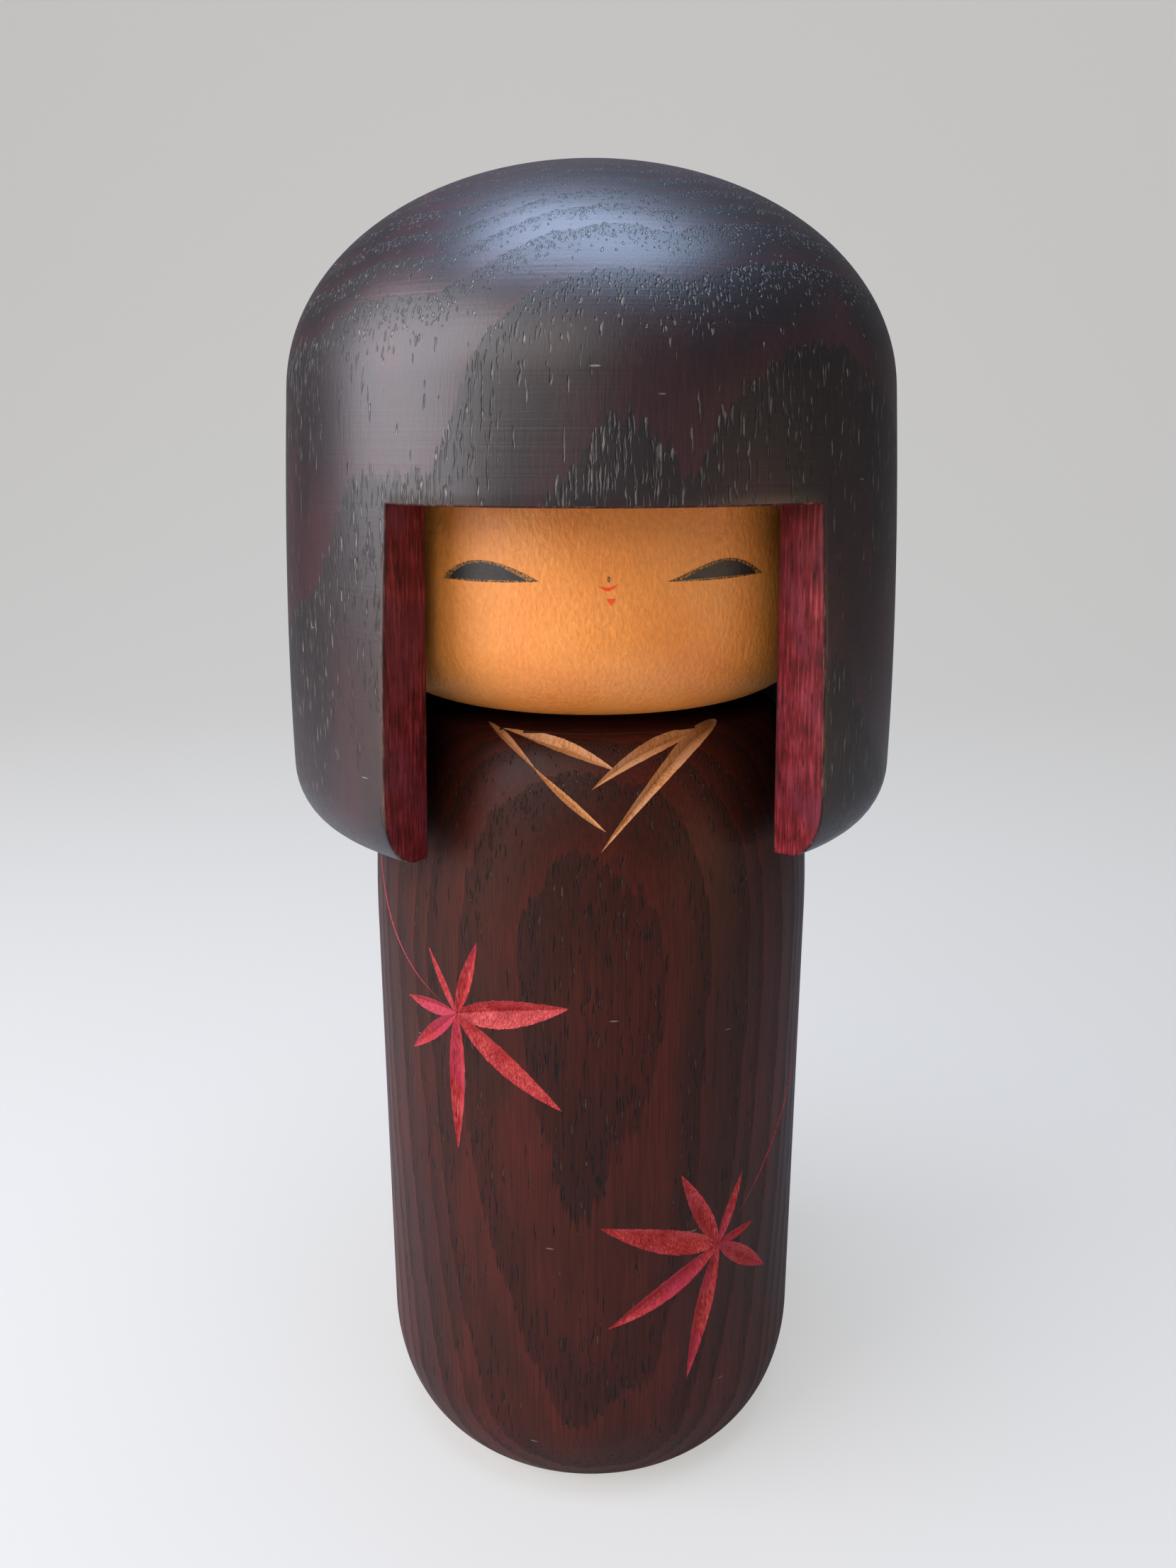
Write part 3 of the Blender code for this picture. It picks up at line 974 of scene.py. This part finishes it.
# %% [markdown]
# The window is opened by taking away the faces in front, outside and in the bore alike. The open
# edges then face each other in pairs with equal counts, so a bridge closes first the fringe and
# then the two sides with clean four-sided faces. Last, the sides are splayed: the lower a point
# is, the more the whole ring is squeezed towards the back, so the window widens downwards.

# %% Open the window
def from_front(point):
    """Degrees round the doll from straight ahead, positive to the doll's left."""
    return degrees(atan2(point.x, -point.y))


def choose(piece, mode, wanted):
    """In edit mode, selects what passes a test: mode is VERT, EDGE or FACE."""
    bpy.ops.object.mode_set(mode="EDIT")
    bpy.ops.mesh.select_mode(type=mode)
    bpy.ops.mesh.select_all(action="DESELECT")
    bpy.ops.object.mode_set(mode="OBJECT")
    items = {"VERT": piece.data.vertices, "EDGE": piece.data.edges, "FACE": piece.data.polygons}[mode]
    found = 0
    for item in items:
        item.select = bool(wanted(item))
        found += item.select
    bpy.ops.object.mode_set(mode="EDIT")
    return found


def in_window(face):
    return face.center.z < FRINGE and abs(from_front(face.center)) < WINDOW_HALF_ANGLE


hood.data.materials.append(hood_wood)
hood.data.materials.append(crimson_cut)
hood.data.materials.append(worn_arris)
opened = choose(hood, "FACE", in_window)
bpy.ops.mesh.delete(type="FACE")
bpy.ops.object.mode_set(mode="OBJECT")


def bridge_sides(piece, chosen):
    """Bridges the open edges that pass a test and paints the new faces as cut wood."""
    count = {}
    for face in piece.data.polygons:
        for key in face.edge_keys:
            count[key] = count.get(key, 0) + 1
    points = [vertex.co.copy() for vertex in piece.data.vertices]

    def is_chosen(edge):
        ends = tuple(sorted(edge.vertices))
        return count.get(ends, 0) == 1 and chosen(points[ends[0]], points[ends[1]])

    choose(piece, "EDGE", is_chosen)
    bpy.ops.mesh.bridge_edge_loops()
    piece.active_material_index = 1
    bpy.ops.object.material_slot_assign()
    bpy.ops.object.mode_set(mode="OBJECT")


HAIR = 0.01 * MM


def along_fringe(a, b):
    return abs(a.z - FRINGE) < HAIR and abs(b.z - FRINGE) < HAIR


def along_rim(a, b):
    return abs(a.z - HOOD_RIM) < HAIR and abs(b.z - HOOD_RIM) < HAIR


def wall_edge(sign):
    def test(a, b):
        same_side = sign * a.x > 0 and sign * b.x > 0
        return same_side and not along_fringe(a, b) and not along_rim(a, b)
    return test


bridge_sides(hood, along_fringe)
bridge_sides(hood, wall_edge(-1))
bridge_sides(hood, wall_edge(1))

for vertex in hood.data.vertices:
    fall = min(max(FRINGE - vertex.co.z, 0.0), FRINGE - HOOD_RIM)
    radius = hypot(vertex.co.x, vertex.co.y)
    if not fall or not radius:
        continue
    azimuth = from_front(vertex.co)
    opening = degrees(fall * tan(radians(WINDOW_SPLAY)) / radius)
    stretch = (180 - WINDOW_HALF_ANGLE - opening) / (180 - WINDOW_HALF_ANGLE)
    moved = 180 - (180 - abs(azimuth)) * stretch
    angle = radians(moved if azimuth > 0 else -moved)
    vertex.co.x, vertex.co.y = radius * sin(angle), -radius * cos(angle)

# %% [markdown]
# Where sawn wood meets the turned surface, sandpaper and years of handling have rounded the arris
# and rubbed the stain off it. A narrow bevel gives both: a soft edge and a strip for worn wood.

# %% Soften the sawn edges
EDGE_SOFTENING = 0.35 * MM
cut_keys = {k for f in hood.data.polygons if f.material_index == 1 for k in f.edge_keys}
turned_keys = {k for f in hood.data.polygons if f.material_index == 0 for k in f.edge_keys}
arris = cut_keys & turned_keys
choose(hood, "EDGE", lambda edge: tuple(sorted(edge.vertices)) in arris)
bpy.ops.mesh.bevel(offset=EDGE_SOFTENING, segments=3, affect="EDGES", material=2)
bpy.ops.object.mode_set(mode="OBJECT")
smooth(hood, 30)
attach(hood, "head")
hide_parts("hair_hood")
print("window opened:", opened, "faces;", len(arris), "edges softened")
print("hood with its window:", round(volume_ml(hood)), "ml")

# %% [markdown]
# The face is a block with a rounded chin. Above the fringe, where nobody sees it, it widens to fill
# the bore, and that is what holds it in the hood.

# %% Face block
face_low, face_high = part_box("face_block")
FACE_RADIUS = 45.5 * MM
CHIN_RADIAL = 16.0 * MM
CHIN_RISE = 15.0 * MM
HOLD_HEIGHT = 207.0 * MM
hold_radius = face_high.x
chin = arc((FACE_RADIUS - CHIN_RADIAL, face_low.z + CHIN_RISE), CHIN_RADIAL, CHIN_RISE, 0, -90, 30)
top_corner = arc(
    (hold_radius - CEILING_CORNER, face_high.z - CEILING_CORNER), CEILING_CORNER, CEILING_CORNER, 90, 0, 6
)
face_outline = [
    Vector((0.0, face_high.z)),
    *top_corner,
    Vector((hold_radius, HOLD_HEIGHT)),
    Vector((FACE_RADIUS, HOLD_HEIGHT)),
    *straight((FACE_RADIUS, HOLD_HEIGHT), chin[0], 12)[1:],
    *chin[1:],
    Vector((0.0, face_low.z)),
]
face = spin_piece("turned_face_block", face_outline, 240)
face.data.materials.append(face_lacquer)
smooth(face, 30)
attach(face, "head")
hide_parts("face_block")
print("face block:", len(face.data.polygons), "faces,", round(volume_ml(face)), "ml")

# %% [markdown]
# Each brushed feature is a film five hundredths of a millimetre proud of the lacquer, between a
# lower and an upper brush edge that are functions of how far along the stroke a point is. The eye
# is two films: a brown outline first, then the dark slate fill laid inside it.

# %% Painted features
PAINT = 0.05 * MM


def paint_patch(name, left, right, lower, upper, lift, finish, columns=40, rows_across=6):
    """A film of paint between two brush edges, which give heights above the line left-right."""
    select_nothing()
    bpy.ops.mesh.primitive_grid_add(x_subdivisions=columns, y_subdivisions=rows_across, size=1)
    patch = bpy.context.object
    patch.name = patch.data.name = name
    for vertex in patch.data.vertices:
        s, share = vertex.co.x + 0.5, vertex.co.y + 0.5
        base = Vector(left).lerp(Vector(right), s)
        height = base.y + lower(s) + (upper(s) - lower(s)) * share
        angle = base.x / FACE_RADIUS
        radius = FACE_RADIUS + lift
        vertex.co = (radius * sin(angle), -radius * cos(angle), height)
    bpy.ops.object.mode_set(mode="EDIT")
    bpy.ops.mesh.select_all(action="SELECT")
    bpy.ops.mesh.remove_doubles(threshold=WELD)
    bpy.ops.object.mode_set(mode="OBJECT")
    thicken = patch.modifiers.new("film", "SOLIDIFY")
    thicken.thickness = lift + PAINT
    thicken.offset = -1
    bpy.ops.object.modifier_apply(modifier="film")
    patch.data.materials.append(finish)
    smooth(patch, 40)
    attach(patch, "head")
    return patch


def almond(height, peak, power):
    """A lid line: zero at both corners and highest at the fraction peak."""
    def lid(s):
        bend = log(2) / -log(peak)
        return height * max(sin(pi * s ** bend), 0.0) ** power
    return lid


def eye(side, inner, outer, height):
    name = "left" if side > 0 else "right"
    corners = (inner, outer) if side > 0 else (outer, inner)
    peak = 0.58 if side > 0 else 0.42
    lid = almond(height, peak, 0.9)
    dip = almond(-0.25 * MM, 0.5, 1.0)
    paint_patch(name + "_eye_line", *corners, dip, lid, PAINT, line_paint, 60)
    a, b = Vector(corners[0]), Vector(corners[1])
    inset_a, inset_b = (0.12, 0.08) if side > 0 else (0.08, 0.12)
    lift_up = Vector((0.0, 0.12 * MM))
    fill_corners = (a.lerp(b, inset_a) + lift_up, a.lerp(b, 1 - inset_b) + lift_up)
    fill_lid = almond(height * 0.83, peak, 0.9)
    paint_patch(
        name + "_eye", *fill_corners, almond(0.02 * MM, 0.5, 1), fill_lid, 2 * PAINT, eye_lacquer, 60
    )


eye(-1, (-10.84 * MM, 190.28 * MM), (-28.68 * MM, 190.17 * MM), 3.3 * MM)
eye(1, (10.25 * MM, 190.21 * MM), (29.24 * MM, 190.74 * MM), 3.1 * MM)
small_marks = [
    (
        "upper_lip", (-1.3, 189.8), (2.1, 190.0),
        almond(-1.0 * MM, 0.5, 1.0), almond(-0.45 * MM, 0.5, 1.2), lip_paint,
    ),
    (
        "lower_lip", (0.1, 187.6), (1.7, 187.65),
        lambda s: -1.15 * MM * (1 - abs(2 * s - 1)), lambda s: 0.0, lip_paint,
    ),
    (
        "nose_tick", (0.22, 190.75), (0.76, 190.75),
        almond(-0.5 * MM, 0.5, 0.8), almond(0.6 * MM, 0.5, 0.8), line_paint,
    ),
]
for name, left, right, lower, upper, finish in small_marks:
    left, right = ([value * MM for value in end] for end in (left, right))
    paint_patch(name, left, right, lower, upper, PAINT, finish)

# %% [markdown]
# The neck dowel is never seen in the assembled doll. It keeps its CAD solid and gets the finish of
# a bought beech dowel: pale, close-grained, with the short dark flecks that beech always has.

# %% Beech dowel
dowel_wood, tree, shader = new_finish("plain_beech_dowel")
mm = in_millimetres(tree)
fleck_place = add(tree, "Mapping", {0: mm, "Scale": (1 / 0.4, 1 / 0.4, 1 / 2.5)}).outputs[0]
flecks = add(tree, "TexNoise", {"Vector": fleck_place, "Scale": 1.0, "Detail": 2.0}).outputs[0]
beech = add(tree, "ValToRGB", {0: flecks})
stops(beech, [(0.36, linear("#9c744c")), (0.46, linear("#c9a274")), (0.7, linear("#d9b88c"))])
tree.links.new(beech.outputs[0], shader.inputs["Base Color"])
shader.inputs["Roughness"].default_value = 0.62
bump = add(tree, "Bump", {"Height": flecks, "Distance": 0.05 * MM, "Strength": 0.5})
tree.links.new(bump.outputs[0], shader.inputs["Normal"])
dowel = frame["nodes"]["neck_dowel"]
dowel.data.materials.clear()
dowel.data.materials.append(dowel_wood)

# %% [markdown]
# The doll stands on a pale floor that sweeps up into a backdrop, as in a product studio, so that
# there is no horizon behind it. The sweep is one strip whose far edge is pulled up and its corner
# rounded. To the camera the sweep glows a little by itself, which keeps it pale without more lamp
# light on the doll; its diffuse part still takes the doll's shadow.

# %% Floor and backdrop
sweep_finish, tree, shader = new_finish("matt_pale_paper")
paper = linear("#bebdba")
place = add(tree, "TexCoord").outputs["Object"]
mottle = add(tree, "TexNoise", {"Vector": place, "Scale": 8.0, "Detail": 3.0}).outputs[0]
tint = add(tree, "MapRange", {0: mottle, 3: 0.97, 4: 1.0}).outputs[0]
paper_tint = add(tree, "VectorMath", {0: paper[:3], 3: tint}, operation="SCALE").outputs[0]
tree.links.new(paper_tint, shader.inputs["Base Color"])
shader.inputs["Roughness"].default_value = 0.85
glow = add(tree, "Emission", {"Color": linear("#f0efed"), "Strength": 1.0})
seen = add(tree, "LightPath").outputs
share = add(tree, "MapRange", {0: seen["Is Camera Ray"], 4: 0.55}).outputs[0]
both = add(tree, "MixShader", {0: share, 1: shader.outputs[0], 2: glow.outputs[0]})
tree.links.new(both.outputs[0], tree.nodes["Material Output"].inputs["Surface"])

SWEEP_WIDTH, SWEEP_FRONT, SWEEP_BACK, SWEEP_HEIGHT, SWEEP_BEND = 8.0, -6.0, 1.6, 2.6, 0.9
select_nothing()
bpy.ops.mesh.primitive_plane_add(size=1)
sweep = bpy.context.object
sweep.name = "paper_sweep"
for corner in sweep.data.vertices:
    corner.co.x *= SWEEP_WIDTH
    corner.co.y = SWEEP_BACK if corner.co.y > 0 else SWEEP_FRONT
choose(sweep, "EDGE", lambda edge: all(sweep.data.vertices[i].co.y > 0 for i in edge.vertices))
bpy.ops.mesh.extrude_region_move(TRANSFORM_OT_translate={"value": (0, 0, SWEEP_HEIGHT)})
bpy.ops.object.mode_set(mode="OBJECT")


def is_fold(edge):
    ends = [sweep.data.vertices[i].co for i in edge.vertices]
    return all(end.y > 0 and end.z < WELD for end in ends)


choose(sweep, "EDGE", is_fold)
bpy.ops.mesh.bevel(offset=SWEEP_BEND, segments=24, affect="EDGES")
bpy.ops.object.mode_set(mode="OBJECT")
smooth(sweep, 30)
sweep.data.materials.append(sweep_finish)
sweep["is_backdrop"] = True

# %% [markdown]
# Light: a large window to the doll's right gives the long soft gleam down the hood. The room's own
# light comes from the front, also from that side, and fills the face. A smaller, bluer skylight
# above gives the cool patch on the dome. Two weak, warm lamps by the floor stand in for the light
# that a table throws back onto the body's sides. The world adds only a little all-round fill.

# %% Lamps
def softbox(name, place, aim, size, power, colour):
    bpy.ops.object.light_add(type="AREA", location=place)
    lamp = bpy.context.object
    lamp.name = name
    lamp.data.shape = "RECTANGLE"
    lamp.data.size, lamp.data.size_y = size
    lamp.data.energy = power
    lamp.data.color = linear(colour)[:3]
    lamp.rotation_euler = (Vector(aim) - Vector(place)).to_track_quat("-Z", "Y").to_euler()
    return lamp


softbox("window_left", (-0.6, -0.22, 0.46), (0, 0, 0.16), (0.6, 0.6), 8.0, "#f8f6ff")
softbox("room_front", (-0.4, -0.8, 0.72), (0, 0, 0.14), (0.8, 0.6), 4.4, "#fff8f0")
softbox("skylight", (-0.02, -0.04, 0.72), (0, 0, 0.2), (0.44, 0.34), 5.2, "#c2daff")
softbox("bounce_right", (0.42, -0.3, 0.1), (0, 0, 0.08), (0.3, 0.07), 0.45, "#ffd0a0")
softbox("bounce_left", (-0.42, -0.26, 0.1), (0, 0, 0.08), (0.3, 0.07), 0.35, "#ffd0a0")

world = bpy.data.worlds.new("studio")
bpy.context.scene.world = world
world.use_nodes = True
sky = world.node_tree
background = sky.nodes["Background"]
rays = add(sky, "LightPath")
FILL_LEVEL, SEEN_LEVEL = 0.16, 0.56  # what the pieces get, and what the camera sees
levels = {"Value": rays.outputs["Is Camera Ray"], "To Min": FILL_LEVEL, "To Max": SEEN_LEVEL}
level = add(sky, "MapRange", levels)
background.inputs["Color"].default_value = linear("#f4f4f6")
sky.links.new(level.outputs["Result"], background.inputs["Strength"])
bpy.context.scene.view_settings.view_transform = "Standard"

# %% Sizes and finish
seen_low, seen_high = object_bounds()
sizes = {
    "cad": [list(cad_low), list(cad_high)],
    "visual": [list(seen_low), list(seen_high)],
}
for label, corners in sizes.items():
    print(label, "box (mm):", [[round(value / MM, 2) for value in corner] for corner in corners])
